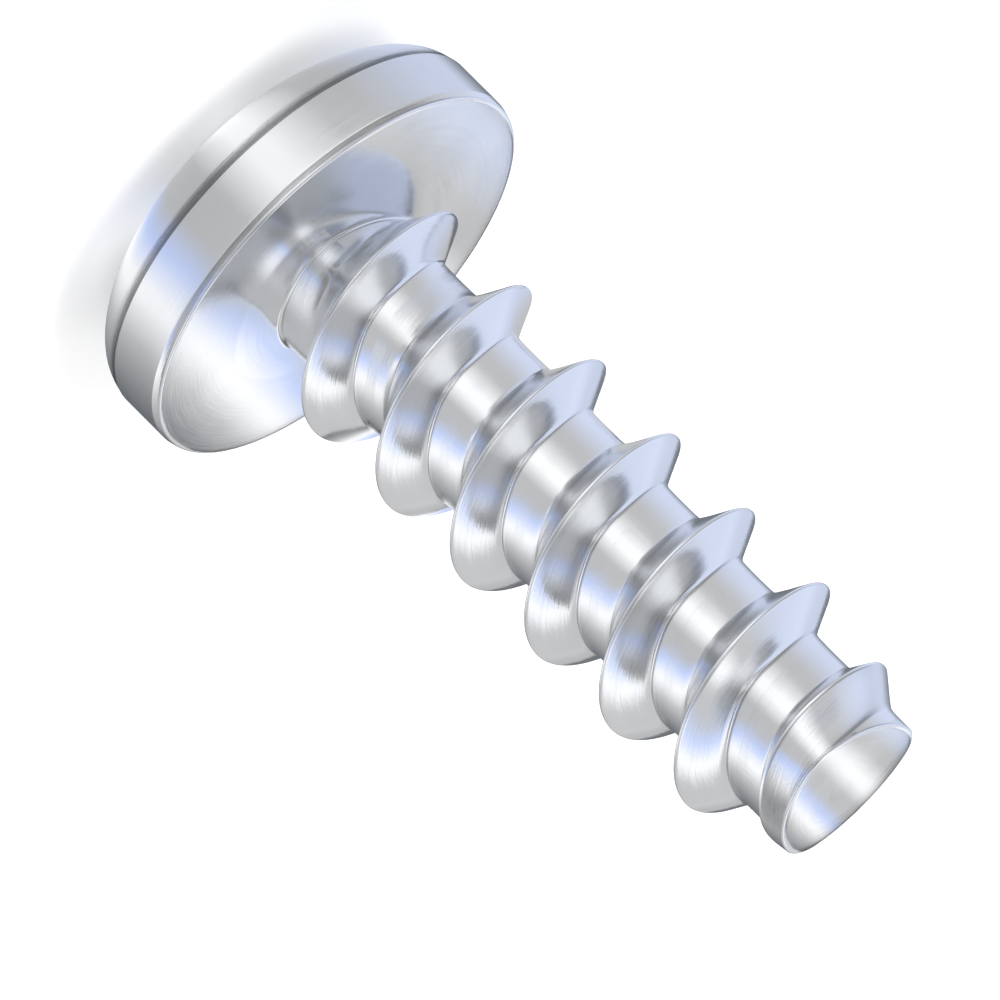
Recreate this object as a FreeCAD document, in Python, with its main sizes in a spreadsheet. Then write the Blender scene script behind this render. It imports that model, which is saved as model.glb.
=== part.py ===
"""Pan head thread rolling screw, cold headed and rolled from one piece of steel wire.

Frame: millimetres. The origin is the centre of the bearing face under the head.
+Z runs along the screw to its tip, so the domed head lies below z = 0.
"""
import FreeCAD, Part
import math
import os
import Sketcher

V = FreeCAD.Vector

doc = FreeCAD.newDocument("thread_rolling_screw")

# Driving dimensions

SIZES = (
    ("head_diameter", 7.80, "mm, across the straight rim of the head"),
    ("head_height", 2.67, "mm, bearing face to the crown, before the recess is punched"),
    ("rim_height", 1.09, "mm, bearing face to the top of the straight rim"),
    ("dome_edge_height", 0.19, "mm, bevel between the rim and the dome, along the axis"),
    ("dome_setback", 0.02, "mm, the dome's oval is this much smaller in radius than the rim"),
    ("bearing_edge_height", 0.15, "mm, bevel between the rim and the bearing face, along the axis"),
    ("bearing_edge_width", 0.04, "mm, the same bevel across"),
    ("seat_clearance", 0.10, "mm, from the thread's crest out to where the flat seat begins"),
    ("seat_rise", 0.06, "mm, the shallow cone between the flat seat and the shank rises by this"),
    ("recess_size", 3.35, "mm, six lobe recess across its lobes"),
    ("recess_lobe_depth", 0.475, "mm, from a lobe's tip to the valleys' circle"),
    ("recess_lobe_radius", 0.267, "mm, round of one lobe"),
    ("recess_depth", 1.55, "mm, from the crown down to the flat floor"),
    ("recess_cone_depth", 0.22, "mm, hollow cone below that floor"),
    ("screw_length", 12.70, "mm, bearing face to the tip"),
    ("major_width", 4.17, "mm, across the crests"),
    ("core_width", 2.76, "mm, across the roots, the same at every turn"),
    ("core_out_of_round", 0.22, "mm, at the roots a lobe stands this much further out than a flat"),
    ("crest_out_of_round", 0.08, "mm, the same at the crests, which the dies press rounder"),
    ("pitch", 1.862, "mm, from one crest to the next"),
    ("head_flank_angle", 37.0, "degrees, from square to the axis, of the flank that faces the head"),
    ("tip_flank_angle", 29.0, "degrees, the same of the flank that faces the tip"),
    ("crest_flat", 0.05, "mm, width of the crest"),
    ("first_crest", 0.666, "mm, height of the first whole crest over the seat, on the -X side"),
    ("run_in_start", -0.25, "mm, height at which the ridge begins to grow"),
    ("run_in_length", 0.80, "mm, climb over which it reaches its whole height"),
    ("point_length", 1.75, "mm, stretch before the tip in which the crests fall away"),
    ("point_crest_width", 3.07, "mm, across the crests where a whole ridge would reach the tip"),
    ("root_overlap", 0.30, "mm, the shank's metal reaches this far into the head's"),
)

sheet = doc.addObject("Spreadsheet::Sheet", "sizes")
for row, (name, value, meaning) in enumerate(SIZES, start=1):
    sheet.set(f"A{row}", name)
    sheet.set(f"B{row}", str(value))
    sheet.set(f"C{row}", meaning)
    sheet.setAlias(f"B{row}", name)
doc.recompute()


def size(name):
    """The value of one cell of the sheet."""
    return float(sheet.get(name))


# Three lobed section

LOBES = 3
# A width that is the same all round comes from an equal sided triangle with a round at each corner.
# Its lobes stand out further than its flats by this share of the triangle's side.
SIDE_SHARE = 2.0 / math.sqrt(3.0) - 1.0
# One lobe faces -Y
FIRST_LOBE = math.radians(270.0)


def lobed_radius(angle, width, out_of_round):
    """Distance from the axis to a three lobed outline of this width, at a polar angle."""
    side = out_of_round / SIDE_SHARE
    corner = side / math.sqrt(3.0)
    near = width / 2.0 - side / 2.0
    far = near + side
    step = 2.0 * math.pi / LOBES
    off = abs((angle - FIRST_LOBE + step / 2.0) % step - step / 2.0)
    change = math.atan2(near * 0.5, corner + near * math.sqrt(0.75))
    if off <= change:
        return corner * math.cos(off) + math.sqrt(near ** 2 - (corner * math.sin(off)) ** 2)
    to_flat = step / 2.0 - off
    return math.sqrt(far ** 2 - (corner * math.sin(to_flat)) ** 2) - corner * math.cos(to_flat)


# Head

head = doc.addObject("PartDesign::Body", "head")
head.Label = "head"


def plane_of(body, role):
    """One of a body's own origin planes."""
    return next(item for item in body.Origin.OriginFeatures if item.Role == role)


def new_sketch(body, name, role, lift=None):
    """A sketch on one of the body's origin planes, lifted along Z by an expression."""
    sketch = body.newObject("Sketcher::SketchObject", name)
    sketch.AttachmentSupport = [(plane_of(body, role), "")]
    sketch.MapMode = "FlatFace"
    if lift:
        sketch.setExpression("AttachmentOffset.Base.z", lift)
    return sketch


def rule(sketch, kind, *where, value=None, tie=None, label=None):
    """Adds one constraint, and ties it to the sheet where it has a size."""
    if value is None:
        return sketch.addConstraint(Sketcher.Constraint(kind, *where))
    index = sketch.addConstraint(Sketcher.Constraint(kind, *where, value))
    sketch.renameConstraint(index, label)
    sketch.setExpression(f"Constraints.{label}", tie)
    return index


def from_sheet(text):
    """Puts the sheet's name before each alias in an expression."""
    return " ".join(f"sizes.{word}" if sheet.getCellFromAlias(word) else word for word in text.split())


def draw_head_section():
    """Half section of the head: dome, bevel, rim, bevel, flat seat and a shallow cone to the shank."""
    sketch = new_sketch(head, "head_section", "XZ_Plane")
    rim = size("head_diameter") / 2.0
    top = -size("rim_height")
    dome_half = size("head_diameter") / 2.0 - size("dome_setback")
    dome_rise = size("head_height") - size("rim_height")
    lift = math.asin(size("dome_edge_height") / dome_rise)
    dome_end = V(dome_half * math.cos(lift), top - size("dome_edge_height"), 0)
    edge = V(rim - size("bearing_edge_width"), 0, 0)
    crest = size("major_width") / 2.0 + size("crest_out_of_round") / 2.0
    seat = V(crest + size("seat_clearance"), 0, 0)
    inner = V(size("core_width") / 2.0 - size("core_out_of_round"), size("seat_rise"), 0)

    oval = Part.Ellipse(V(0, top, 0), dome_half, dome_rise)
    dome = sketch.addGeometry(Part.ArcOfEllipse(oval, -math.pi / 2.0, -lift))
    bevel = sketch.addGeometry(Part.LineSegment(dome_end, V(rim, top, 0)))
    wall = sketch.addGeometry(Part.LineSegment(V(rim, top, 0), V(rim, -size("bearing_edge_height"), 0)))
    lower = sketch.addGeometry(Part.LineSegment(V(rim, -size("bearing_edge_height"), 0), edge))
    flat = sketch.addGeometry(Part.LineSegment(edge, seat))
    coned = sketch.addGeometry(Part.LineSegment(seat, inner))
    inside = sketch.addGeometry(Part.LineSegment(inner, V(0, inner.y, 0)))
    axis = sketch.addGeometry(Part.LineSegment(V(0, inner.y, 0), V(0, -size("head_height"), 0)))
    sketch.exposeInternalGeometry(dome)
    major = axis + 1
    minor = axis + 2

    for one, one_end, other, other_end in (
        (dome, 2, bevel, 1), (bevel, 2, wall, 1), (wall, 2, lower, 1), (lower, 2, flat, 1),
        (flat, 2, coned, 1), (coned, 2, inside, 1), (inside, 2, axis, 1), (axis, 2, dome, 1),
    ):
        rule(sketch, "Coincident", one, one_end, other, other_end)
    rule(sketch, "Vertical", wall)
    rule(sketch, "Horizontal", flat)
    rule(sketch, "Horizontal", inside)
    rule(sketch, "Horizontal", major)
    rule(sketch, "PointOnObject", axis, 1, -2)
    rule(sketch, "PointOnObject", axis, 2, -2)
    rule(sketch, "PointOnObject", dome, 3, -2)
    rule(sketch, "PointOnObject", flat, 1, -1)
    rule(sketch, "Distance", major, value=2.0 * dome_half, label="dome_width",
         tie=from_sheet("head_diameter - 2 * dome_setback"))
    rule(sketch, "Distance", minor, value=2.0 * dome_rise, label="dome_rise",
         tie=from_sheet("2 * ( head_height - rim_height )"))
    rule(sketch, "DistanceY", wall, 1, -1, 1, value=-top, label="rim_top", tie=from_sheet("rim_height"))
    rule(sketch, "DistanceY", dome, 3, -1, 1, value=-top, label="dome_base", tie=from_sheet("rim_height"))
    rule(sketch, "DistanceX", -1, 1, wall, 1, value=rim, label="rim_radius",
         tie=from_sheet("head_diameter / 2"))
    rule(sketch, "DistanceY", dome, 2, bevel, 2, value=size("dome_edge_height"), label="dome_edge",
         tie=from_sheet("dome_edge_height"))
    rule(sketch, "DistanceY", lower, 1, lower, 2, value=size("bearing_edge_height"), label="lower_rise",
         tie=from_sheet("bearing_edge_height"))
    rule(sketch, "DistanceX", lower, 2, lower, 1, value=size("bearing_edge_width"), label="lower_width",
         tie=from_sheet("bearing_edge_width"))
    rule(sketch, "DistanceX", -1, 1, flat, 2, value=seat.x, label="seat_radius",
         tie=from_sheet("major_width / 2 + crest_out_of_round / 2 + seat_clearance"))
    rule(sketch, "DistanceX", -1, 1, inside, 1, value=inner.x, label="cone_end",
         tie=from_sheet("core_width / 2 - core_out_of_round"))
    rule(sketch, "DistanceY", -1, 1, inside, 1, value=inner.y, label="cone_rise",
         tie=from_sheet("seat_rise"))
    return sketch


def draw_recess_lobe():
    """One sixth of the recess: a round lobe between two hollow valleys, closed just past the axis."""
    sketch = new_sketch(punch, "recess_lobe", "XY_Plane", lift=from_sheet("- head_height"))
    lobe_r = size("recess_lobe_radius")
    lobe_c = size("recess_size") / 2.0 - lobe_r
    valley_at = size("recess_size") / 2.0 - size("recess_lobe_depth")
    cosine = math.cos(math.pi / 6.0)
    top = lobe_r ** 2 - valley_at ** 2 - lobe_c ** 2 + 2.0 * lobe_c * valley_at * cosine
    valley_r = top / (2.0 * (valley_at - lobe_c * cosine - lobe_r))
    centre = V((valley_at + valley_r) / 2.0, (valley_at + valley_r) * cosine, 0)
    to_valley = math.atan2(centre.y - lobe_c, centre.x)
    touch = V(lobe_r * math.cos(to_valley), lobe_c + lobe_r * math.sin(to_valley), 0)
    back = math.atan2(touch.y - centre.y, touch.x - centre.x) % (2.0 * math.pi)
    inward = math.radians(240.0)
    past_axis = V(0, -0.25 * valley_at, 0)
    right_end = V(valley_at / 2.0, valley_at * cosine, 0)
    left_end = V(-right_end.x, right_end.y, 0)

    lobe = sketch.addGeometry(Part.ArcOfCircle(Part.Circle(V(0, lobe_c, 0), V(0, 0, 1), lobe_r),
                                               to_valley, math.pi - to_valley))
    right = sketch.addGeometry(Part.ArcOfCircle(Part.Circle(centre, V(0, 0, 1), valley_r), back, inward))
    mirrored = V(-centre.x, centre.y, 0)
    left = sketch.addGeometry(Part.ArcOfCircle(Part.Circle(mirrored, V(0, 0, 1), valley_r),
                                               3.0 * math.pi - inward, 3.0 * math.pi - back))
    down = sketch.addGeometry(Part.LineSegment(right_end, past_axis))
    up = sketch.addGeometry(Part.LineSegment(past_axis, left_end))
    ray = sketch.addGeometry(Part.LineSegment(V(0, 0, 0), right_end), True)

    rule(sketch, "Tangent", lobe, 1, right, 1)
    rule(sketch, "Tangent", lobe, 2, left, 2)
    rule(sketch, "Coincident", right, 2, down, 1)
    rule(sketch, "Coincident", down, 2, up, 1)
    rule(sketch, "Coincident", up, 2, left, 1)
    rule(sketch, "Coincident", ray, 1, -1, 1)
    rule(sketch, "Coincident", ray, 2, right, 2)
    rule(sketch, "PointOnObject", right, 3, ray)
    rule(sketch, "PointOnObject", lobe, 3, -2)
    rule(sketch, "PointOnObject", down, 2, -2)
    rule(sketch, "Symmetric", down, 1, up, 2, -2)
    rule(sketch, "Equal", right, left)
    rule(sketch, "Radius", lobe, value=lobe_r, label="lobe_radius", tie=from_sheet("recess_lobe_radius"))
    rule(sketch, "DistanceY", -1, 1, lobe, 3, value=lobe_c, label="lobe_centre",
         tie=from_sheet("recess_size / 2 - recess_lobe_radius"))
    rule(sketch, "Distance", ray, value=valley_at, label="valley_circle",
         tie=from_sheet("recess_size / 2 - recess_lobe_depth"))
    rule(sketch, "Angle", -1, 1, ray, 1, value=math.pi / 3.0, label="valley_angle", tie="60 deg")
    rule(sketch, "DistanceY", down, 2, -1, 1, value=-past_axis.y, label="past_axis",
         tie=from_sheet("( recess_size / 2 - recess_lobe_depth ) / 4"))
    return sketch


def draw_recess_cone():
    """Half section of the hollow cone that the punch's nose leaves below the recess's floor."""
    sketch = new_sketch(punch, "recess_cone", "XZ_Plane")
    wide = size("recess_size") / 2.0 - size("recess_lobe_depth")
    floor = size("recess_depth") - size("head_height")
    apex = floor + size("recess_cone_depth")
    across = sketch.addGeometry(Part.LineSegment(V(0, floor, 0), V(wide, floor, 0)))
    slope = sketch.addGeometry(Part.LineSegment(V(wide, floor, 0), V(0, apex, 0)))
    axis = sketch.addGeometry(Part.LineSegment(V(0, apex, 0), V(0, floor, 0)))
    rule(sketch, "Coincident", across, 2, slope, 1)
    rule(sketch, "Coincident", slope, 2, axis, 1)
    rule(sketch, "Coincident", axis, 2, across, 1)
    rule(sketch, "PointOnObject", axis, 1, -2)
    rule(sketch, "PointOnObject", axis, 2, -2)
    rule(sketch, "Horizontal", across)
    rule(sketch, "Distance", across, value=wide, label="cone_radius",
         tie=from_sheet("recess_size / 2 - recess_lobe_depth"))
    rule(sketch, "Distance", axis, value=size("recess_cone_depth"), label="cone_depth",
         tie=from_sheet("recess_cone_depth"))
    rule(sketch, "DistanceY", axis, 2, -1, 1, value=-floor, label="floor_depth",
         tie=from_sheet("head_height - recess_depth"))
    return sketch


section = draw_head_section()
turned = head.newObject("PartDesign::Revolution", "turned_head")
turned.Profile = section
turned.ReferenceAxis = (section, ["V_Axis"])
turned.Angle = 360.0
doc.recompute()
whole_head = turned.Shape.Volume

# Recess punch

punch = doc.addObject("PartDesign::Body", "punch")
lobe_sketch = draw_recess_lobe()
sixth = punch.newObject("PartDesign::Pad", "punch_sixth")
sixth.Profile = lobe_sketch
sixth.setExpression("Length", from_sheet("recess_depth"))
doc.recompute()

lobes = punch.newObject("PartDesign::PolarPattern", "punch_lobes")
lobes.Originals = [sixth]
lobes.Axis = (plane_of(punch, "Z_Axis"), [""])
lobes.Angle = 360.0
lobes.Occurrences = 6
punch.Tip = lobes
doc.recompute()

cone_sketch = draw_recess_cone()
cone = punch.newObject("PartDesign::Revolution", "punch_nose")
cone.Profile = cone_sketch
cone.ReferenceAxis = (cone_sketch, ["V_Axis"])
cone.Angle = 360.0
punch.Tip = cone
doc.recompute()

punched_head = doc.addObject("Part::Cut", "punched_head")
punched_head.Base = head
punched_head.Tool = punch
doc.recompute()


# Threaded shank

STEPS = 24


def run_in_share(height):
    """How much of its whole size the ridge has where it grows out of the shank, under the head."""
    rise = (height - size("run_in_start")) / size("run_in_length")
    rise = min(1.0, max(0.0, rise))
    # Inside the head, where no metal is left, a thread of this share keeps the faces whole
    return max(0.02, rise * rise * (3.0 - 2.0 * rise))


def point_share(height):
    """How much of its height the crest still has near the tip, where the dies no longer fill it."""
    whole = size("major_width") - size("core_width")
    left = (size("point_crest_width") - size("core_width")) / whole
    along = (height - size("screw_length") + size("point_length")) / size("point_length")
    # Past the tip, where no metal is left, the same share keeps the faces whole
    return max(0.02, 1.0 - (1.0 - left) * max(0.0, along))


def ridge_point(turn, corner):
    """A corner of the ridge's section at this turn: 0 and 3 are its feet, 1 and 2 its crest.

    Near the tip the feet keep their places, and the crest slides down the line of the head flank.
    """
    angle = math.pi + 2.0 * math.pi * turn
    height = size("first_crest") + size("pitch") * turn
    half_crest = size("crest_flat") / 2.0
    head_slope = math.tan(math.radians(size("head_flank_angle")))
    tip_slope = math.tan(math.radians(size("tip_flank_angle")))
    ridge = (size("major_width") - size("core_width")) / 2.0 * run_in_share(height)
    lost = ridge * (1.0 - point_share(height))
    crest = height - lost * head_slope
    along = (height - half_crest - ridge * head_slope, crest - half_crest,
             crest + half_crest, height + half_crest + ridge * tip_slope)
    width = size("core_width")
    out_of_round = size("core_out_of_round")
    if corner in (1, 2):
        width += 2.0 * (ridge - lost)
        share = (width - size("core_width")) / (size("major_width") - size("core_width"))
        out_of_round += (size("crest_out_of_round") - out_of_round) * share
    radius = lobed_radius(angle, width, out_of_round)
    return V(radius * math.cos(angle), radius * math.sin(angle), along[corner])


def helix_edge(turn, corner):
    """One turn of a corner's path, as a smooth curve through equally spaced points."""
    curve = Part.BSplineCurve()
    turns = [turn + step / STEPS for step in range(STEPS + 1)]
    curve.interpolate(Points=[ridge_point(at, corner) for at in turns],
                      Parameters=[at - turn for at in turns])
    return curve.toShape()


def axis_edge(turn, corner):
    """The stretch of the axis level with one turn of a corner's path."""
    low = ridge_point(turn, corner).z
    high = ridge_point(turn + 1, corner).z
    return Part.LineSegment(V(0, 0, low), V(0, 0, high)).toShape()


def end_cap(turn, corner):
    """The flat face that closes the ridge's end at a whole turn, between the axis and the ridge."""
    low = ridge_point(turn, corner).z
    high = ridge_point(turn + 1, corner).z
    if corner == 0:
        outline = [ridge_point(turn, 0), ridge_point(turn, 1), ridge_point(turn, 2),
                   ridge_point(turn, 3), ridge_point(turn + 1, 0)]
    else:
        outline = [ridge_point(turn, 3), ridge_point(turn + 1, 0), ridge_point(turn + 1, 1),
                   ridge_point(turn + 1, 2), ridge_point(turn + 1, 3)]
    corners = [V(0, 0, low)] + outline + [V(0, 0, high), V(0, 0, low)]
    return Part.Face(Part.makePolygon(corners))


def threaded_rod():
    """The thread's own surfaces, sewn to one solid that is longer than the shank at both ends."""
    first = math.floor((-2.0 * size("root_overlap") - size("first_crest")) / size("pitch")) - 1
    last = math.ceil((size("screw_length") - size("first_crest")) / size("pitch")) + 1
    faces = []
    for turn in range(first, last):
        edges = [helix_edge(turn, corner) for corner in range(4)]
        faces += [Part.makeRuledSurface(edges[n], edges[n + 1]) for n in range(3)]
        if turn < last - 1:
            faces.append(Part.makeRuledSurface(edges[3], helix_edge(turn + 1, 0)))
    faces.append(Part.makeRuledSurface(axis_edge(first, 0), helix_edge(first, 0)))
    faces.append(Part.makeRuledSurface(helix_edge(last - 1, 3), axis_edge(last - 1, 3)))
    faces.append(end_cap(first, 0))
    faces.append(end_cap(last - 1, 3))
    shell = Part.makeShell(faces)
    shell.sewShape()
    solid = Part.makeSolid(Part.Shell(shell.Faces))
    if solid.Volume < 0:
        solid.reverse()
    return solid


rod = doc.addObject("Part::Feature", "threaded_rod")
rod.Shape = threaded_rod()

# The sheath is where the shank's metal may be, from inside the head to the flat end face.
# A quarter turn puts its seam clear of the thread's ends.
sheath = doc.addObject("Part::Cylinder", "sheath")
sheath.Placement.Rotation = FreeCAD.Rotation(V(0, 0, 1), 90)
sheath.setExpression("Placement.Base.z", from_sheet("- root_overlap"))
sheath.setExpression("Height", from_sheet("screw_length + root_overlap"))
sheath.setExpression("Radius", from_sheet("major_width / 2 + core_out_of_round"))

shank = doc.addObject("Part::Common", "shank")
shank.Base = rod
shank.Tool = sheath


# The whole screw

screw = doc.addObject("Part::Fuse", "screw")
screw.Label = "screw"
screw.Base = punched_head
screw.Tool = shank
doc.recompute()

for item in doc.Objects:
    if "Invalid" in item.State or "Error" in item.State:
        raise SystemExit(f"{item.Name} failed: {item.State}")
if not punched_head.Shape.Volume < whole_head - 1.0:
    raise SystemExit("the recess cuts nothing")
if screw.Shape.isNull() or not screw.Shape.isValid() or len(screw.Shape.Solids) != 1:
    raise SystemExit("the screw isn't one valid solid")

os.makedirs("parts", exist_ok=True)
screw.Shape.exportStep("parts/screw.step")
print("screw volume in mm3:", round(screw.Shape.Volume, 3), "faces:", len(screw.Shape.Faces))
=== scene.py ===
"""Bright zinc plated thread rolling screw, standing on its head on a white sheet.

Lengths are in millimetres up to the point where a mesh is made, and MM turns them to metres.
"""
import math

import bpy
import numpy as np
from mathutils import Matrix, Vector


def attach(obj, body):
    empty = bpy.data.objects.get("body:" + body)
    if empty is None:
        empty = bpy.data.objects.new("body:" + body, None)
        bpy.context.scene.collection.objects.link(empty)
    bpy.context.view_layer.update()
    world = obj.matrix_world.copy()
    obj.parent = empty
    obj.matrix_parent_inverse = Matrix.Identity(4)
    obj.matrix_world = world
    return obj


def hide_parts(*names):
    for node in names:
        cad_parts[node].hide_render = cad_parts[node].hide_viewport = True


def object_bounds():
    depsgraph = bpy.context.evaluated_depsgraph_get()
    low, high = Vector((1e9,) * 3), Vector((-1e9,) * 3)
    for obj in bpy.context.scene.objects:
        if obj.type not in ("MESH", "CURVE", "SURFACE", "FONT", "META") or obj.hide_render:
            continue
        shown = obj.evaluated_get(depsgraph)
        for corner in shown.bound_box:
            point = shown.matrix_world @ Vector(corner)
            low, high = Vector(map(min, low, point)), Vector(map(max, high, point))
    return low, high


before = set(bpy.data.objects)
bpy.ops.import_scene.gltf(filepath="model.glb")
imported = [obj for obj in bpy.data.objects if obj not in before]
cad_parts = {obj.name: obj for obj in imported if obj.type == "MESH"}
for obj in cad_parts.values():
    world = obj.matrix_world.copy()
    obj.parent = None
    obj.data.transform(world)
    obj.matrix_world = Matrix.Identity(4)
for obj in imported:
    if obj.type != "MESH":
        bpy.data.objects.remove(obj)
cad_low, cad_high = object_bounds()


# Shank and thread
# The shank is steel wire drawn to a rounded triangle, so that only its three lobes form metal at a time.
# One coarse right hand ridge is rolled up out of the same wire between two flat dies.

MM = 0.001
COLUMNS = 300
LOBES = 3
# One lobe faces the front
FIRST_LOBE = math.radians(270.0)
# How far out of round a triangle of arcs is, as a share of its side
SIDE_SHARE = 2.0 / math.sqrt(3.0) - 1.0

TIP = cad_high.z / MM
CORE_WIDTH = 2.76
MAJOR_WIDTH = 4.17
CORE_OUT_OF_ROUND = 0.22
CREST_OUT_OF_ROUND = 0.08
RIDGE = (MAJOR_WIDTH - CORE_WIDTH) / 2.0
PITCH = 1.862
# Height of the lowest crest on the -X side
FIRST_CREST = 0.666
HEAD_FLANK = math.tan(math.radians(37.0))
TIP_FLANK = math.tan(math.radians(29.0))
HALF_CREST = 0.025
CREST_ROUND = 0.03
ROOT_ROUND = 0.10
RUN_IN_START = -0.25
RUN_IN_LENGTH = 0.80
POINT_LENGTH = 1.75
POINT_SHARE = 0.22
SMALLEST_SHARE = 0.02
TIP_EDGE_ROUND = 0.05
SEAT_FILLET = 0.08
SEAT_CLEARANCE = 0.10
SEAT_RISE = 0.06
# The fillet ends on the cone where the cone still has this share of its rise
FILLET_ON_CONE = 0.6
ROWS_PER_TURN = 28
# Steps in which a turn's profile is measured, and how much its bends count beside its length
PROFILE_STEPS = 4001
BEND_WEIGHT = 1.6

angles = np.linspace(0.0, 2.0 * math.pi, COLUMNS, endpoint=False)


def lobed_radius(angle, width, out_of_round):
    """Rounded triangle of constant width: six arcs about the corners of an equal sided triangle.

    A lobe is a small arc about the nearest corner, a flat is a large arc about the farthest one.
    """
    side = out_of_round / SIDE_SHARE
    corner = side / math.sqrt(3.0)
    near = width / 2.0 - side / 2.0
    far = near + side
    step = 2.0 * math.pi / LOBES
    off = np.abs((angle - FIRST_LOBE + step / 2.0) % step - step / 2.0)
    change = np.arctan2(near * 0.5, corner + near * math.sqrt(0.75))
    lobe = corner * np.cos(off) + np.sqrt(near ** 2 - (corner * np.sin(off)) ** 2)
    to_flat = step / 2.0 - off
    flat = np.sqrt(far ** 2 - (corner * np.sin(to_flat)) ** 2) - corner * np.cos(to_flat)
    return np.where(off <= change, lobe, flat)


def run_in_share(height):
    """Share of its whole size that the ridge has where it grows out of the shank: an S curve."""
    rise = np.clip((height - RUN_IN_START) / RUN_IN_LENGTH, 0.0, 1.0)
    return np.maximum(SMALLEST_SHARE, rise ** 2 * (3.0 - 2.0 * rise))


def point_share(height):
    """Share of its height that the crest still has before the tip: a straight fall."""
    along = np.maximum(0.0, (height - TIP + POINT_LENGTH) / POINT_LENGTH)
    return np.maximum(SMALLEST_SHARE, 1.0 - (1.0 - POINT_SHARE) * along)


def ridge_section(height):
    """The ridge where its middle is at this height: its rise, head side foot, crest and tip side foot.

    Feet and crest are distances along the axis from that height. Near the tip the feet keep their
    places, and the crest slides down the line of the head flank.
    """
    ridge = RIDGE * run_in_share(height)
    lost = ridge * (1.0 - point_share(height))
    return (ridge - lost, -HALF_CREST - ridge * HEAD_FLANK, -lost * HEAD_FLANK,
            HALF_CREST + ridge * TIP_FLANK)


def bend(value, size):
    """The larger of a value and zero, with a hyperbola of this size rounding the corner."""
    return (value + np.sqrt(value ** 2 + size ** 2)) / 2.0


def ridge_profile(offset, section):
    """Height of the ridge as a share of its rise, at a distance along the axis from its middle.

    Each flank is a straight line from 0 at its foot to 1 at the crest, with both corners rounded.
    """
    head_foot, crest, tip_foot = section[1:]
    from_head = (offset - head_foot) / (crest - HALF_CREST - head_foot)
    from_tip = (tip_foot - offset) / (tip_foot - crest - HALF_CREST)
    climb = np.minimum(from_head, from_tip)
    return 1.0 - bend(1.0 - bend(climb, ROOT_ROUND), CREST_ROUND)


def shank_radius(angle, height):
    """Distance of the shank's surface from the axis, at an angle and a height, thread included."""
    turns = (height - FIRST_CREST) / PITCH - (angle - math.pi) / (2.0 * math.pi)
    offset = (turns - np.round(turns)) * PITCH
    section = ridge_section(height - offset)
    rise = section[0]
    crest_out_of_round = CORE_OUT_OF_ROUND + (CREST_OUT_OF_ROUND - CORE_OUT_OF_ROUND) * rise / RIDGE
    core = lobed_radius(angle, CORE_WIDTH, CORE_OUT_OF_ROUND)
    crest = lobed_radius(angle, CORE_WIDTH + 2.0 * rise, crest_out_of_round)
    return core + (crest - core) * ridge_profile(offset, section)


def thread_stations():
    """Offsets from a whole ridge's middle at which it has its rows of points, closer where it bends more.

    Also gives each row's distance from the crest along the profile.
    """
    offset = np.linspace(-PITCH / 2.0, PITCH / 2.0, PROFILE_STEPS)
    height = RIDGE * ridge_profile(offset, ridge_section(TIP / 2.0))
    length = np.concatenate([[0.0], np.cumsum(np.hypot(np.diff(offset), np.diff(height)))])
    slope = np.arctan(np.gradient(height, offset))
    turning = np.concatenate([[0.0], np.cumsum(np.abs(np.diff(slope)))])
    measure = length / length[-1] + BEND_WEIGHT * turning / turning[-1]
    wanted = np.linspace(0.0, measure[-1], ROWS_PER_TURN, endpoint=False)
    stations = np.interp(wanted, measure, offset)
    crest = np.interp(0.0, offset, length)
    return stations, np.interp(stations, offset, length) - crest


def at_radius(radius, height, angle=angles):
    """Rows of points at this radius, angle and height, each row closed by its own first point."""
    radius, height, angle = np.broadcast_arrays(np.atleast_2d(radius), height, angle)
    points = np.stack([radius * np.cos(angle), radius * np.sin(angle), height], axis=-1)
    return np.concatenate([points, points[:, :1]], axis=1)


def threaded_rows(low, high):
    """Rows of points that follow the helix, from one height to another, where they are cut off level.

    After one turn round the axis a row goes on as the row one pitch higher. Rows past either end
    all lie on that end's ring, and are merged there later.
    """
    stations, across = thread_stations()
    first = math.floor((low - FIRST_CREST) / PITCH) - 2
    last = math.ceil((high - FIRST_CREST) / PITCH) + 2
    turn = np.arange(first, last + 1).reshape(-1, 1, 1)
    middle = FIRST_CREST + PITCH * (turn + (angles - math.pi) / (2.0 * math.pi))
    station = stations.reshape(1, -1, 1)
    whole, here = ([-PITCH / 2.0, foot, crest - HALF_CREST, crest + HALF_CREST, far_foot, PITCH / 2.0]
                   for rise, foot, crest, far_foot in (ridge_section(TIP / 2.0), ridge_section(middle)))
    # A row keeps its share of the way between two corners of the section
    offset = here[0]
    for start, end, low_corner, high_corner in zip(whole, whole[1:], here, here[1:]):
        moved = (np.clip(station, start, end) - start) * (high_corner - low_corner) / (end - start)
        offset = offset + moved
    height = np.clip(middle + offset, low, high).reshape(-1, COLUMNS)
    rows = at_radius(shank_radius(angles, height), height)
    rows[:, -1] = np.concatenate([rows[ROWS_PER_TURN:, 0], np.repeat(rows[-1:, 0], ROWS_PER_TURN, axis=0)])
    grain = np.tile(across, len(turn))
    return rows[::-1], grain[::-1]


shank_low = SEAT_FILLET + FILLET_ON_CONE * SEAT_RISE
shank_high = TIP - TIP_EDGE_ROUND
shank, shank_grain = threaded_rows(shank_low, shank_high)

# The end is sheared flat, and its edge is slightly rounded
tip_ring = shank_radius(angles, shank_high)
quarter = np.radians([90.0, 67.5, 45.0, 22.5]).reshape(-1, 1)
tip_edge = at_radius(tip_ring - TIP_EDGE_ROUND * (1.0 - np.cos(quarter)),
                     shank_high + TIP_EDGE_ROUND * np.sin(quarter))
tip_shares = np.array([0.0, 0.25, 0.5, 0.75, 0.94]).reshape(-1, 1)
tip_face = at_radius((tip_ring - TIP_EDGE_ROUND) * tip_shares, TIP)

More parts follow.
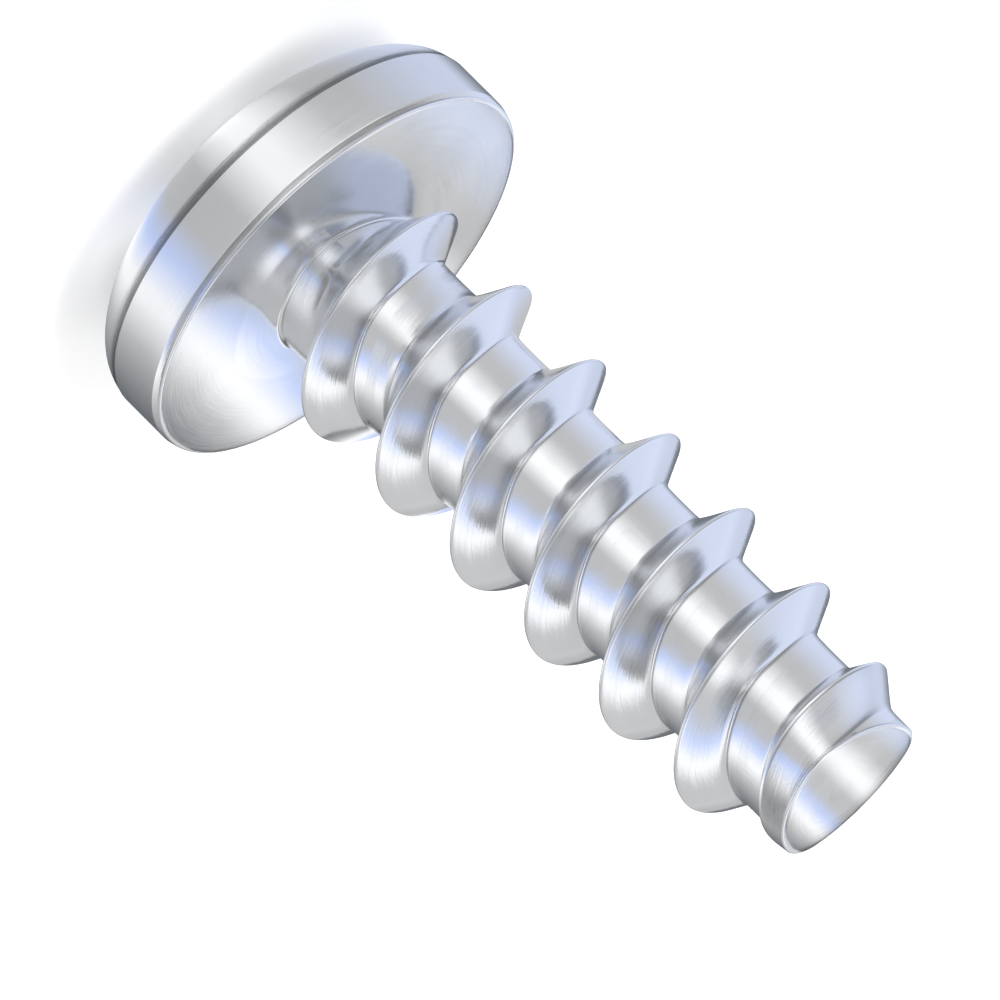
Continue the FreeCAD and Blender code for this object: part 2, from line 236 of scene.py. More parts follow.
# The shank meets the head in a small fillet, and a very shallow cone leads out to the flat bearing face
seat_start = (MAJOR_WIDTH + CREST_OUT_OF_ROUND) / 2.0 + SEAT_CLEARANCE
root_ring = shank_radius(angles, shank_low)
quarter = np.radians([15.0, 30.0, 45.0, 60.0, 75.0, 90.0]).reshape(-1, 1)
fillet = at_radius(root_ring + SEAT_FILLET * (1.0 - np.cos(quarter)),
                   shank_low - SEAT_FILLET * np.sin(quarter))
share = np.array([0.06, 0.3, 0.6, 0.94, 1.0]).reshape(-1, 1)
cone_start = root_ring + SEAT_FILLET
seat_cone = at_radius(cone_start + (seat_start - cone_start) * share,
                      (shank_low - SEAT_FILLET) * (1.0 - share))


# Head
# The pan head is cold headed from the same wire: a flat bearing face, a straight rim between two narrow
# bevels, and an oval dome. Its corners are as round as the heading die leaves them.

HEAD_RADIUS = cad_high.x / MM
HEAD_HEIGHT = 2.67
RIM_HEIGHT = 1.09
LOWER_BEVEL = (0.04, 0.15)
DOME_SETBACK = 0.02
DOME_EDGE = 0.19
EDGE_ROUND = 0.05
BEVEL_ROUND = 0.06
# A round keeps this much of the straight line on both its sides
HOLD = 0.04
SEAT_EDGE_STEPS = 5
BEVEL_STEPS = 2
SEAT_MIDDLE = 3.0
DOME_ROWS = 22


def rounded_corner(before, corner, after, round_radius, steps):
    """Points through a corner of a profile: a short straight stretch, a round, and a straight stretch."""
    before, corner, after = (np.array(point) for point in (before, corner, after))
    inward = (corner - before) / np.linalg.norm(corner - before)
    outward = (after - corner) / np.linalg.norm(after - corner)
    cross = inward[0] * outward[1] - inward[1] * outward[0]
    turn = math.atan2(cross, inward @ outward)
    reach = round_radius * math.tan(abs(turn) / 2.0)
    start = corner - reach * inward
    centre = start + round_radius * math.copysign(1.0, turn) * np.array([-inward[1], inward[0]])
    swept = turn * np.linspace(0.0, 1.0, steps + 1).reshape(-1, 1)
    arm = start - centre
    side = np.array([-arm[1], arm[0]])
    arc = centre + arm * np.cos(swept) + side * np.sin(swept)
    return np.concatenate([[start - HOLD * inward], arc, [corner + (reach + HOLD) * outward]])


dome_half = HEAD_RADIUS - DOME_SETBACK
dome_rise = HEAD_HEIGHT - RIM_HEIGHT
dome_lift = math.asin(DOME_EDGE / dome_rise)
seat_edge = (HEAD_RADIUS - LOWER_BEVEL[0], 0.0)
rim_low = (HEAD_RADIUS, -LOWER_BEVEL[1])
rim_top = (HEAD_RADIUS, -RIM_HEIGHT)
dome_edge = (dome_half * math.cos(dome_lift), -RIM_HEIGHT - DOME_EDGE)
profile = np.concatenate([
    [(seat_start + HOLD, 0.0), (SEAT_MIDDLE, 0.0)],
    rounded_corner((seat_start, 0.0), seat_edge, rim_low, EDGE_ROUND, SEAT_EDGE_STEPS),
    rounded_corner(seat_edge, rim_low, rim_top, BEVEL_ROUND, BEVEL_STEPS),
    rounded_corner(rim_low, rim_top, dome_edge, BEVEL_ROUND, BEVEL_STEPS),
])
head_side = at_radius(profile[:, :1], profile[:, 1:])


def dome_height(radius):
    """Height of the dome, half an ellipse turned about the axis, at a distance from the axis."""
    return -RIM_HEIGHT - dome_rise * np.sqrt(np.maximum(0.0, 1.0 - (radius / dome_half) ** 2))


# Six lobe recess
# A hardened punch presses the recess into the dome as the head is formed: six round lobes between six
# hollow valleys, straight walls, and a shallow cone in the floor from the punch's nose.

RECESS_RADIUS = 3.35 / 2.0
LOBE_ROUND = 0.267
VALLEY_RADIUS = RECESS_RADIUS - 0.475
RECESS_DEPTH = 1.55
NOSE_DEPTH = 0.22
RECESS_EDGE_ROUND = 0.06
FLOOR_ROUND = 0.06
SECTORS = 6
OUTLINE_STEPS = 24001


def recess_radius(angle):
    """Six lobed outline: an arc bulging out at each lobe, an arc bulging in at each valley, tangent."""
    lobe_centre = RECESS_RADIUS - LOBE_ROUND
    cosine = math.cos(math.pi / SECTORS)
    top = (LOBE_ROUND ** 2 - VALLEY_RADIUS ** 2 - lobe_centre ** 2
           + 2.0 * lobe_centre * VALLEY_RADIUS * cosine)
    valley_round = top / (2.0 * (VALLEY_RADIUS - lobe_centre * cosine - LOBE_ROUND))
    valley_centre = VALLEY_RADIUS + valley_round
    sine = math.sin(math.pi / SECTORS)
    to_valley = math.atan2(valley_centre * cosine - lobe_centre, valley_centre * sine)
    touch = math.atan2(LOBE_ROUND * math.cos(to_valley), lobe_centre + LOBE_ROUND * math.sin(to_valley))
    step = 2.0 * math.pi / SECTORS
    from_valley = np.abs((angle + step / 2.0) % step - step / 2.0)
    from_lobe = step / 2.0 - from_valley
    lobe_rest = LOBE_ROUND ** 2 - (lobe_centre * np.sin(from_lobe)) ** 2
    lobe = lobe_centre * np.cos(from_lobe) + np.sqrt(np.maximum(0.0, lobe_rest))
    valley_rest = valley_round ** 2 - (valley_centre * np.sin(from_valley)) ** 2
    valley = valley_centre * np.cos(from_valley) - np.sqrt(np.maximum(0.0, valley_rest))
    return np.where(from_lobe <= touch, lobe, valley)


# Points at even steps along the outline, and the direction straight out of it at each
fine = np.linspace(0.0, 2.0 * math.pi, OUTLINE_STEPS)
fine_outline = np.stack([np.cos(fine), np.sin(fine)], axis=1) * recess_radius(fine)[:, None]
travelled = np.concatenate([[0.0], np.cumsum(np.linalg.norm(np.diff(fine_outline, axis=0), axis=1))])
even = np.interp(np.arange(COLUMNS) / COLUMNS * travelled[-1], travelled, fine)
outline = np.stack([np.cos(even), np.sin(even)], axis=1) * recess_radius(even)[:, None]
tangent = np.roll(outline, -1, axis=0) - np.roll(outline, 1, axis=0)
outward = np.stack([tangent[:, 1], -tangent[:, 0]], axis=1)
outward = outward / np.linalg.norm(outward, axis=1, keepdims=True)


def closed(flat_points, height):
    """Rows of points from rows of x and y and their heights, each row closed by its own first point."""
    rows, columns = flat_points.shape[:2]
    height = np.broadcast_to(height, (rows, columns))
    points = np.concatenate([flat_points, height[..., None]], axis=-1)
    return np.concatenate([points, points[:, :1]], axis=1)


def floor_height(radius):
    """Height of the recess's floor: level, with a cone inside the valleys' circle."""
    nose = np.maximum(0.0, 1.0 - radius / VALLEY_RADIUS)
    return RECESS_DEPTH - HEAD_HEIGHT + NOSE_DEPTH * nose


mouth = outline + RECESS_EDGE_ROUND * outward
mouth_height = dome_height(np.linalg.norm(mouth, axis=1))
floor_rim = outline - FLOOR_ROUND * outward
floor_rim_height = floor_height(np.linalg.norm(floor_rim, axis=1))

# The dome's rows start as circles at its edge and end as the recess's outline
share = np.linspace(0.0, 1.0, DOME_ROWS).reshape(-1, 1, 1)
dome_end = math.acos((RECESS_RADIUS + 2.0 * RECESS_EDGE_ROUND) / dome_half)
circle = dome_half * np.cos(dome_lift + (dome_end - dome_lift) * share)
circle = circle * np.stack([np.cos(angles), np.sin(angles)], axis=1)
dome_points = circle + (mouth - circle) * share ** 3
dome = closed(dome_points, dome_height(np.linalg.norm(dome_points, axis=2)))

quarter = np.radians([22.5, 45.0, 67.5, 90.0]).reshape(-1, 1, 1)
edge_points = outline + RECESS_EDGE_ROUND * (1.0 - np.sin(quarter)) * outward
recess_edge = closed(edge_points, mouth_height + RECESS_EDGE_ROUND * (1.0 - np.cos(quarter[..., 0])))
wall_top = mouth_height + RECESS_EDGE_ROUND
wall_end = floor_rim_height - FLOOR_ROUND
share = np.array([0.03, 0.25, 0.5, 0.75, 0.97]).reshape(-1, 1)
wall = closed(np.broadcast_to(outline, (len(share), COLUMNS, 2)), wall_top + (wall_end - wall_top) * share)
quarter = np.radians([0.0, 30.0, 60.0, 90.0]).reshape(-1, 1, 1)
foot_points = outline - FLOOR_ROUND * (1.0 - np.cos(quarter)) * outward
recess_foot = closed(foot_points, wall_end + FLOOR_ROUND * np.sin(quarter[..., 0]))
share = np.array([0.97, 0.92, 0.86, 0.8, 0.6, 0.4, 0.2, 0.0]).reshape(-1, 1, 1)
floor_points = floor_rim * share
recess_floor = closed(floor_points, floor_height(np.linalg.norm(floor_points, axis=2)))


# The whole screw
# All the rows above, from the tip's middle over the thread and the head to the recess's middle, make
# one closed skin, as the real screw is one piece of wire.

# Points that round to the same step, with this many steps to the millimetre, are merged
MERGE_STEPS = 1e5

grid = np.concatenate([tip_face, tip_edge, shank, fillet, seat_cone, head_side, dome, recess_edge, wall,
                       recess_foot, recess_floor])
stride = np.linalg.norm(np.diff(grid, axis=0), axis=2).mean(axis=1)
grain = np.concatenate([[0.0], np.cumsum(stride)])
shank_rows = slice(len(tip_face) + len(tip_edge), len(tip_face) + len(tip_edge) + len(shank))
grain[shank_rows] = shank_grain


def skin(points):
    """Joins a grid of points into faces, merges the points that coincide, and drops what has no area.

    Gives the points that are left, the number of the point at each place in the grid, and the faces
    with four and with three corners as rows of places.
    """
    rows, columns = points.shape[:2]
    place = np.arange(rows * columns).reshape(rows, columns)
    corners = np.stack([place[:-1, :-1], place[1:, :-1], place[1:, 1:], place[:-1, 1:]], axis=-1)
    corners = corners.reshape(-1, 4)
    whole = np.round(points.reshape(-1, 3) * MERGE_STEPS).astype(np.int64)
    kept, number = np.unique(whole, axis=0, return_index=True, return_inverse=True)[1:]
    number = number.reshape(-1)
    merged = number[corners]
    same = merged == np.roll(merged, -1, axis=1)
    quads = corners[same.sum(axis=1) == 0]
    narrow = corners[same.sum(axis=1) == 1]
    gone = same[same.sum(axis=1) == 1]
    triangles = narrow[~gone].reshape(-1, 3)
    return points.reshape(-1, 3)[kept], number, quads, triangles


points, number, quads, triangles = skin(grid)
faces = number[quads].tolist() + number[triangles].tolist()
mesh = bpy.data.meshes.new("thread_rolling_screw")
mesh.from_pydata(points * MM, [], faces)
in_grid = np.concatenate([quads.reshape(-1), triangles.reshape(-1)])
row, column = np.divmod(in_grid, COLUMNS + 1)
surface_map = mesh.uv_layers.new(name="round_and_across")
places = np.stack([column / COLUMNS, grain[row]], axis=1)
surface_map.data.foreach_set("uv", places.astype(np.float32).ravel())
mesh.shade_smooth()
mesh.update()
screw = bpy.data.objects.new("thread_rolling_screw", mesh)
bpy.context.scene.collection.objects.link(screw)


def linear(hex_colour):
    """An sRGB hex value as the linear colour that a shader takes, with full opacity."""
    values = [int(hex_colour[start:start + 2], 16) / 255.0 for start in (1, 3, 5)]
    return [v / 12.92 if v <= 0.04045 else ((v + 0.055) / 1.055) ** 2.4 for v in values] + [1.0]


def add(tree, kind, settings=(), inputs=()):
    """Adds a node, sets its properties, and fills its inputs with values or with other nodes' outputs."""
    made = tree.nodes.new(kind)
    for name, value in dict(settings).items():
        setattr(made, name, value)
    for name, value in dict(inputs).items():
        if isinstance(value, bpy.types.NodeSocket):
            tree.links.new(value, made.inputs[name])
        else:
            made.inputs[name].default_value = value
    return made


def new_material(name):
    """A material with an empty node tree."""
    made = bpy.data.materials.new(name)
    made.use_nodes = True
    made.node_tree.nodes.clear()
    return made


# Bright zinc plate, clear passivated: a hard silvery skin a few thousandths of a millimetre thick.
# The eye sees soft cloudy patches, fine streaks along the thread and round the head, which the dies
# left in the steel under it, and a slight grain.

ZINC_DULL = "#DFE1E4"
ZINC_BRIGHT = "#EDEEF0"
CLOUD_MM = 1.6
# The real grain and streaks are finer, and are drawn coarser so that they show
GRAIN_MM = 0.07
GRAIN_DEPTH_MM = 0.0010
STREAK_MM = 0.045
STREAK_LENGTH_MM = 1.2
STREAK_DEPTH_MM = 0.0012
# The part of a noise's range that it mostly keeps to, and the roughness over it
NOISE_LOW = 0.3
NOISE_HIGH = 0.7
CLOUD_ROUGHNESS = (0.12, 0.17)
STREAK_ROUGHNESS = (-0.02, 0.05)


def zinc_plated_steel():
    """The plated finish, from object coordinates and the map round and across the thread."""
    material = new_material("zinc_plated_steel")
    tree = material.node_tree
    place = add(tree, "ShaderNodeTexCoord").outputs["Object"]
    across = add(tree, "ShaderNodeUVMap", {"uv_map": "round_and_across"}).outputs["UV"]
    cloud = add(tree, "ShaderNodeTexNoise", {}, {
        "Vector": place, "Scale": 1.0 / (CLOUD_MM * MM), "Detail": 2.0, "Roughness": 0.5})
    speck = add(tree, "ShaderNodeTexNoise", {}, {
        "Vector": place, "Scale": 1.0 / (GRAIN_MM * MM), "Detail": 3.0, "Roughness": 0.6})
    parts = add(tree, "ShaderNodeSeparateXYZ", {}, {0: place})
    sides = add(tree, "ShaderNodeSeparateXYZ", {}, {0: across})
    long_x = add(tree, "ShaderNodeMath", {"operation": "DIVIDE"}, {
        0: parts.outputs["X"], 1: STREAK_LENGTH_MM * MM})
    long_y = add(tree, "ShaderNodeMath", {"operation": "DIVIDE"}, {
        0: parts.outputs["Y"], 1: STREAK_LENGTH_MM * MM})
    fine_across = add(tree, "ShaderNodeMath", {"operation": "DIVIDE"}, {
        0: sides.outputs["Y"], 1: STREAK_MM})
    streak_place = add(tree, "ShaderNodeCombineXYZ", {}, {
        "X": long_x.outputs[0], "Y": long_y.outputs[0], "Z": fine_across.outputs[0]})
    streak = add(tree, "ShaderNodeTexNoise", {}, {
        "Vector": streak_place.outputs[0], "Scale": 1.0, "Detail": 2.0, "Roughness": 0.55})
    tone = add(tree, "ShaderNodeMix", {"data_type": "RGBA"}, {
        "Factor": cloud.outputs["Fac"], 6: linear(ZINC_DULL), 7: linear(ZINC_BRIGHT)})
    dulled = add(tree, "ShaderNodeMapRange", {}, {
        "Value": cloud.outputs["Fac"], "From Min": NOISE_LOW, "From Max": NOISE_HIGH,
        "To Min": CLOUD_ROUGHNESS[0], "To Max": CLOUD_ROUGHNESS[1]})
    streaked = add(tree, "ShaderNodeMapRange", {}, {
        "Value": streak.outputs["Fac"], "From Min": NOISE_LOW, "From Max": NOISE_HIGH,
        "To Min": STREAK_ROUGHNESS[0], "To Max": STREAK_ROUGHNESS[1]})
    roughness = add(tree, "ShaderNodeMath", {"operation": "ADD"}, {
        0: dulled.outputs[0], 1: streaked.outputs[0]})
    streak_bump = add(tree, "ShaderNodeBump", {}, {
        "Strength": 1.0, "Distance": STREAK_DEPTH_MM * MM, "Height": streak.outputs["Fac"]})
    bump = add(tree, "ShaderNodeBump", {}, {
        "Strength": 1.0, "Distance": GRAIN_DEPTH_MM * MM, "Height": speck.outputs["Fac"],
        "Normal": streak_bump.outputs["Normal"]})
    shader = add(tree, "ShaderNodeBsdfPrincipled", {}, {
        "Base Color": tone.outputs[2], "Metallic": 1.0, "Roughness": roughness.outputs[0],
        "Normal": bump.outputs["Normal"]})
    add(tree, "ShaderNodeOutputMaterial", {}, {"Surface": shader.outputs["BSDF"]})
    return material


screw.data.materials.append(zinc_plated_steel())
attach(screw, "root")
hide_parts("screw")


# Floor, light and camera
# The screw stands on white paper in soft light from above. Glowing film on the floor, far round the screw
# and overhead, which only reflections show, paints the metal's reflections: soft bands of white, grey and
# light blue, and dark lines at edges and outlines from its dim and dark parts.

floor_level = cad_low.z
FLOOR_SIZE = 2.0
PAPER_GLOW = 0.3


def seen(tree):
    """1 for the rays that see the background: from the camera, and from gloss and glass."""
    path = add(tree, "ShaderNodeLightPath")
    camera_or_gloss = add(tree, "ShaderNodeMath", {"operation": "MAXIMUM"}, {
        0: path.outputs["Is Camera Ray"], 1: path.outputs["Is Glossy Ray"]})
    any_of_them = add(tree, "ShaderNodeMath", {"operation": "MAXIMUM"}, {
        0: camera_or_gloss.outputs[0], 1: path.outputs["Is Transmission Ray"]})
    return any_of_them.outputs[0]


def white_paper():
    """Matt white paper, which the background's rays see as white apart from the screw's shadow."""
    material = new_material("white_paper")
    tree = material.node_tree
    matt = add(tree, "ShaderNodeBsdfDiffuse", {}, {"Color": linear("#F2F2F2")})
    glow = add(tree, "ShaderNodeEmission", {}, {"Color": linear("#FFFFFF"), "Strength": PAPER_GLOW})
    extra = add(tree, "ShaderNodeMixShader", {}, {0: seen(tree), 2: glow.outputs[0]})
    both = add(tree, "ShaderNodeAddShader", {}, {0: matt.outputs[0], 1: extra.outputs[0]})
    add(tree, "ShaderNodeOutputMaterial", {}, {"Surface": both.outputs[0]})
    return material


paper = bpy.data.meshes.new("white_paper")
edge = FLOOR_SIZE / 2.0
paper.from_pydata([(-edge, -edge, floor_level), (edge, -edge, floor_level),
                   (edge, edge, floor_level), (-edge, edge, floor_level)], [], [(0, 1, 2, 3)])
paper.materials.append(white_paper())
floor = bpy.data.objects.new("white_paper", paper)
bpy.context.scene.collection.objects.link(floor)

# Colours painted across the film, which the metal shows as painted reflections: dark outline edges, pale,
# grey and light blue bands and white highlights, as plain strips with soft edges, by how far across a round
# surface mirrors them: -1 is its -X edge and 1 its +X edge
FILM_DARK = "#606468"
FILM_PALE = "#CCD4E8"
FILM_GREY = "#BCBCBC"
FILM_BLUE = "#C2D2FA"
FILM_WHITE = "#FFFFFF"
FILM_STRIPS = (
    (-1.00, FILM_DARK),
    (-0.95, FILM_PALE),
    (-0.85, FILM_PALE),
    (-0.60, FILM_GREY),
    (-0.45, FILM_GREY),
    (-0.20, FILM_WHITE),
    (-0.10, FILM_WHITE),
    (0.10, FILM_GREY),
    (0.30, FILM_GREY),
    (0.45, FILM_BLUE),
    (0.60, FILM_WHITE),
    (0.65, FILM_WHITE),
    (0.80, FILM_GREY),
    (1.00, FILM_DARK),
)
FILM_GLOW = 1.15
# How strongly the shaded and the dim parts are lit: they paint shade, as dark lines, into the metal's
# reflections
SHADED = 0.25
DIM = 0.45
OFF_FLOOR = 0.01
OVERHEAD = 110.0
WALL_RADIUS = 250.0
# The far film is dim up to this angle from the front, and fully lit this much further round
DIM_ANGLE = math.radians(110.0)
FADE_ANGLE = math.radians(30.0)
# The wall and the sheet overhead keep to these shares across, so that their ends aren't dark
FIRST_SHARE = -0.90
LAST_SHARE = 0.80
# How far the camera looks down
ELEVATION = math.radians(22.2)


def painted_reflection_film():
    """Painted reflections from the glowing film: one ramp of colour across it, times how strongly each
    place is lit.
    """
    material = new_material("painted_reflection_film")
    tree = material.node_tree
    across = add(tree, "ShaderNodeUVMap", {"uv_map": "across_and_lit"})
    parts = add(tree, "ShaderNodeSeparateXYZ", {}, {0: across.outputs["UV"]})
    ramp = add(tree, "ShaderNodeValToRGB", {}, {"Fac": parts.outputs["X"]})
    ramp.color_ramp.interpolation = "LINEAR"
    stops = ramp.color_ramp.elements
    while len(stops) < len(FILM_STRIPS):
        stops.new(0.5)
    for stop, (share_across, colour) in zip(stops, FILM_STRIPS):
        stop.position = (share_across + 1.0) / 2.0
        stop.color = linear(colour)
    strength = add(tree, "ShaderNodeMath", {"operation": "MULTIPLY"}, {0: parts.outputs["Y"], 1: FILM_GLOW})
    glow = add(tree, "ShaderNodeEmission", {}, {
        "Color": ramp.outputs["Color"], "Strength": strength.outputs[0]})
    add(tree, "ShaderNodeOutputMaterial", {}, {"Surface": glow.outputs[0]})
    return material


film_finish = painted_reflection_film()


def hang_film(name, points, across, lit):
    """A sheet of film that only reflections show: rows of points, their shares across and lit shares."""
    rows, columns = points.shape[:2]
    place = np.arange(rows * columns).reshape(rows, columns)
    corners = np.stack([place[:-1, :-1], place[:-1, 1:], place[1:, 1:], place[1:, :-1]], axis=-1)
    corners = corners.reshape(-1)
    sheet = bpy.data.meshes.new(name)
    sheet.from_pydata(points.reshape(-1, 3) * MM, [], corners.reshape(-1, 4).tolist())
    spread = np.broadcast_to((across + 1.0) / 2.0, (rows, columns))
    level = np.stack([np.broadcast_to(share_lit, columns) for share_lit in lit])
    shares = np.stack([spread.reshape(-1)[corners], level.reshape(-1)[corners]], axis=1)
    sheet.uv_layers.new(name="across_and_lit").data.foreach_set("uv", shares.astype(np.float32).ravel())
    sheet.materials.append(film_finish)
    film = bpy.data.objects.new(name, sheet)
    bpy.context.scene.collection.objects.link(film)
    film.visible_camera = False
    film.visible_diffuse = False
    film.visible_transmission = False
    film.visible_shadow = False


from_front = np.linspace(-math.pi, math.pi, COLUMNS + 1)
behind = np.clip((np.abs(from_front) - DIM_ANGLE) / FADE_ANGLE, 0.0, 1.0)
dim_in_front = DIM + (1.0 - DIM) * behind


def circle_row(reach, height):
    """A circle of points round the axis at this distance and height, from behind round by the front."""
    return np.stack([reach * np.sin(from_front), -reach * np.cos(from_front),
                     np.full(COLUMNS + 1, height)], axis=1)


def share_mirrored(ring, reach):
    """Share across an outline at which it mirrors each angle of a circle of radius reach round it.

    A level ray from the front leaves each point of the outline at twice the angle that the surface
    has there, and goes on until it meets the circle. The ring is the outline's radius at each angle.
    """
    x, y = ring * np.cos(angles), ring * np.sin(angles)
    facing = np.arctan2(np.roll(y, -1) - np.roll(y, 1), np.roll(x, -1) - np.roll(x, 1))
    along = np.stack([np.sin(2.0 * facing), -np.cos(2.0 * facing)])
    ahead = x * along[0] + y * along[1]
    travel = -ahead + np.sqrt(ahead ** 2 - ring ** 2 + reach ** 2)
    met = np.arctan2(x + travel * along[0], -y - travel * along[1])
    front = np.flatnonzero(np.abs(facing) < math.pi / 2.0)
    front = front[np.argsort(met[front])]
    return np.interp(from_front, met[front], x[front] / x.max())


# A round sheet on the floor, which all upright surfaces mirror: the head in its middle and the shank
# further out. Its shaded ring paints a dark line on the narrow bevel between rim and dome, which mirrors
# it, and its outer rows, dim in front, paint dark lines on the edges that mirror them. Each row has its
# distance from the axis, the outline that mirrors it and how strongly it is lit. Rows nearer than
# NEAREST_MIRRORED take their shares from that circle.
NEAREST_MIRRORED = 5.5
film_floor = floor_level / MM + OFF_FLOOR
head_ring = np.full(COLUMNS, HEAD_RADIUS)
core_ring = lobed_radius(angles, CORE_WIDTH, CORE_OUT_OF_ROUND)
FLOOR_ROWS = (
    (2.0, head_ring, 1.0),
    (4.70, head_ring, 1.0),
    (4.84, head_ring, SHADED),
    (5.35, head_ring, SHADED),
    (5.50, head_ring, 1.0),
    (7.0, head_ring, 1.0),
    (10.0, head_ring, 1.0),
    (11.0, core_ring, 1.1),
    (15.0, core_ring, 1.1),
    (25.0, core_ring, 1.1),
    (60.0, core_ring, 1.1),
    (100.0, core_ring, dim_in_front),
    (WALL_RADIUS, core_ring, dim_in_front),
)
sheet_points = [circle_row(reach, film_floor) for reach, ring, lit in FLOOR_ROWS]
floor_shares = [share_mirrored(ring, max(reach, NEAREST_MIRRORED)) for reach, ring, lit in FLOOR_ROWS]
hang_film("floor_film", np.stack(sheet_points), np.stack(floor_shares), [row[2] for row in FLOOR_ROWS])

CARD_COLUMNS = 129
# Heights over the place that a face's far edge mirrors, between which its card goes from shaded to lit
SHADE_END = 0.05
LIT_START = 0.08
SEAT_CARD_PLACE = 4.2
SEAT_CARD_TOP = 3.6
TIP_CARD_PLACE = 2.2
TIP_CARD_TOP = TIP + 2.2


def hang_card(name, ring, level, place, half_width, top):
    """A card of film behind a flat level face, with painted shade where the face's far edge mirrors it.

    It stands at this place along Y. The ring is the face's radius at each of the angles. The far edge
    is mirrored as high over the face as a line of sight rises on its way from that edge to the card.
    """
    across = np.linspace(-1.0, 1.0, CARD_COLUMNS)
    x = across * half_width
    far = angles <= math.pi
    far_side = np.interp(x, (ring * np.cos(angles))[far][::-1], (ring * np.sin(angles))[far][::-1])
    edge = level + (place - far_side) * math.tan(ELEVATION)
    heights = (np.full(CARD_COLUMNS, level + OFF_FLOOR), edge + SHADE_END, edge + LIT_START,
               np.full(CARD_COLUMNS, top))
    points = [np.stack([x, np.full(CARD_COLUMNS, place), height], axis=1) for height in heights]
    hang_film(name, np.stack(points), across, [SHADED, SHADED, 1.0, 1.0])


hang_card("seat_card", head_ring, 0.0, SEAT_CARD_PLACE, HEAD_RADIUS, SEAT_CARD_TOP)
hang_card("tip_card", tip_ring, TIP, TIP_CARD_PLACE, CORE_WIDTH / 2.0, TIP_CARD_TOP)

# A wall of film far round the screw, up to the sheet overhead. Edges and all slopes in between mirror it.
# Seen from so far, a surface at angle a mirrors it at 2a. Each row has its height and how strongly it is
# lit: low down the wall is dim in front, which paints dark lines on the edges that mirror it, and near the
# top it is brightest.
WALL_ROWS = (
    (film_floor, dim_in_front),
    (30.0, dim_in_front),
    (50.0, 1.0),
    (85.0, 1.2),
    (OVERHEAD, 1.2),
)
wall_points = [circle_row(WALL_RADIUS, height) for height, lit in WALL_ROWS]
wall_share = np.clip(np.sin(from_front / 2.0), FIRST_SHARE, LAST_SHARE)
hang_film("wall_film", np.stack(wall_points), wall_share, [row[1] for row in WALL_ROWS])

# A wide sheet overhead, which the flanks that face the tip mirror. A flank facing angle a from the front
# leans back by the flank's angle, and its share across is the sine of a. Each row has its place along Y
# and how strongly it is lit: over the front, which only the rounds at crests and roots mirror, it is dim,
# which paints shade on those rounds.
OVERHEAD_COLUMNS = 65
OVERHEAD_ROWS = (
    (-WALL_RADIUS, 0.5),
    (-30.0, 0.5),
    (0.0, 1.15),
    (WALL_RADIUS, 1.15),
)
overhead_share = np.linspace(-1.0, 1.0, OVERHEAD_COLUMNS)
flank_lean = math.atan(TIP_FLANK)
facing = np.sqrt(1.0 - overhead_share ** 2) * math.sin(flank_lean) * math.cos(ELEVATION)
facing = 2.0 * (facing + math.cos(flank_lean) * math.sin(ELEVATION))
aside = facing * math.sin(flank_lean) * overhead_share
upward = facing * math.cos(flank_lean) - math.sin(ELEVATION)
overhead_x = np.concatenate([[-WALL_RADIUS], OVERHEAD * aside / upward, [WALL_RADIUS]])
overhead_share = np.clip(np.concatenate([[-1.0], overhead_share, [1.0]]), FIRST_SHARE, LAST_SHARE)
level_sheet = np.full(OVERHEAD_COLUMNS + 2, OVERHEAD)
overhead_points = [np.stack([overhead_x, np.full(OVERHEAD_COLUMNS + 2, y), level_sheet], axis=1)
                   for y, lit in OVERHEAD_ROWS]
hang_film("overhead_film", np.stack(overhead_points), overhead_share, [row[1] for row in OVERHEAD_ROWS])

# Three soft round lamps: name, place, width, share of the level and colour
LAMPS = (
    ("key_lamp", (-240.0, -280.0, 480.0), 360.0, 1.0, "#FFFFFF"),
    ("fill_lamp", (360.0, -160.0, 320.0), 360.0, 0.5, "#FFFFFF"),
    ("back_lamp", (40.0, 440.0, 360.0), 360.0, 0.5, "#FFFFFF"),
)
LAMP_LEVEL = 1.76
AIM = Vector((0.0, 0.0, 5.0))
ROOM_LIGHT = 0.45
WHITE_BACKDROP = 1.0

for name, place, width, share, colour in LAMPS:
    lamp = bpy.data.lights.new(name, "AREA")
    lamp.shape = "DISK"
    lamp.size = width * MM
    lamp.energy = LAMP_LEVEL * share
    lamp.color = linear(colour)[:3]
    holder = bpy.data.objects.new(name, lamp)
    holder.location = Vector(place) * MM
    holder.rotation_euler = (Vector(place) - AIM).to_track_quat("Z", "Y").to_euler()
    holder.visible_camera = False
    bpy.context.scene.collection.objects.link(holder)

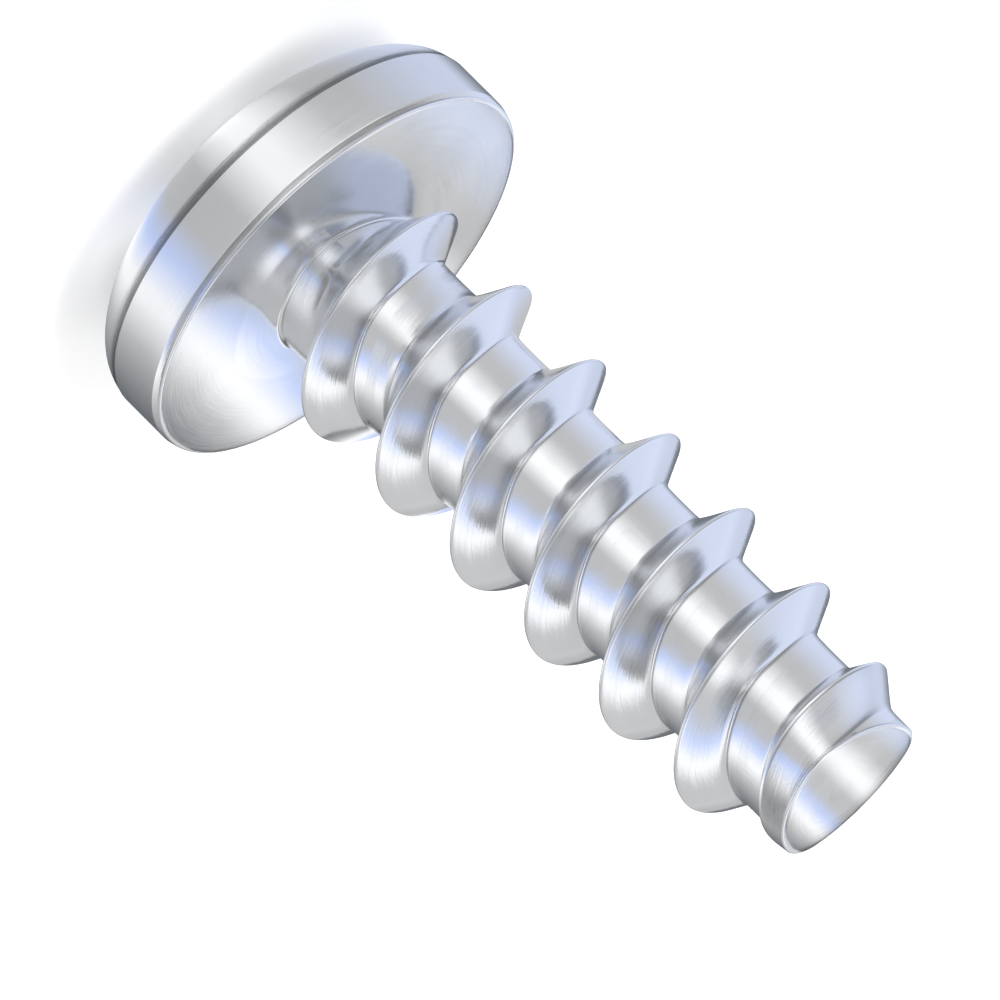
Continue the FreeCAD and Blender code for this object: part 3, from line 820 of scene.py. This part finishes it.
world = bpy.data.worlds.new("studio")
bpy.context.scene.world = world
world.use_nodes = True
sky = world.node_tree
sky.nodes.clear()
room = add(sky, "ShaderNodeBackground", {}, {"Color": linear("#FFFFFF"), "Strength": ROOM_LIGHT})
backdrop = add(sky, "ShaderNodeBackground", {}, {"Color": linear("#FFFFFF"), "Strength": WHITE_BACKDROP})
chosen = add(sky, "ShaderNodeMixShader", {}, {0: seen(sky), 1: room.outputs[0], 2: backdrop.outputs[0]})
add(sky, "ShaderNodeOutputWorld", {}, {"Surface": chosen.outputs[0]})

# The drawing is a parallel view, so the lens is very long. The screw's own origin and scale in the
# photograph place the camera: the axis leans towards the lens and runs down to the right.
PHOTO_WIDTH = 1000.0
MIDDLE_IN_PHOTO = (590.5, 529.0)
PIXELS_PER_MM = 61.0
ROLL = math.radians(135.0)
LENS = 1200.0
SENSOR = 36.0
NEAREST_SEEN = 0.01
FARTHEST_SEEN = 10.0

back = Vector((0.0, -math.cos(ELEVATION), math.sin(ELEVATION)))
level_right = Vector((1.0, 0.0, 0.0))
level_up = back.cross(level_right)
right = level_right * math.cos(ROLL) + level_up * math.sin(ROLL)
up = level_up * math.cos(ROLL) - level_right * math.sin(ROLL)
centre_right = (PHOTO_WIDTH / 2.0 - MIDDLE_IN_PHOTO[0]) / PIXELS_PER_MM
centre_down = (PHOTO_WIDTH / 2.0 - MIDDLE_IN_PHOTO[1]) / PIXELS_PER_MM
distance = PHOTO_WIDTH / PIXELS_PER_MM * LENS / SENSOR
look_at = Vector((0.0, 0.0, TIP / 2.0)) + right * centre_right - up * centre_down
camera_data = bpy.data.cameras.new("camera")
camera_data.lens = LENS
camera_data.sensor_width = SENSOR
camera_data.clip_start = NEAREST_SEEN
camera_data.clip_end = FARTHEST_SEEN
camera = bpy.data.objects.new("camera", camera_data)
turn = Matrix((right, up, back)).transposed()
camera.matrix_world = Matrix.Translation((look_at + back * distance) * MM) @ turn.to_4x4()
bpy.context.scene.collection.objects.link(camera)
bpy.context.scene.camera = camera
bpy.context.scene.view_settings.view_transform = "Standard"
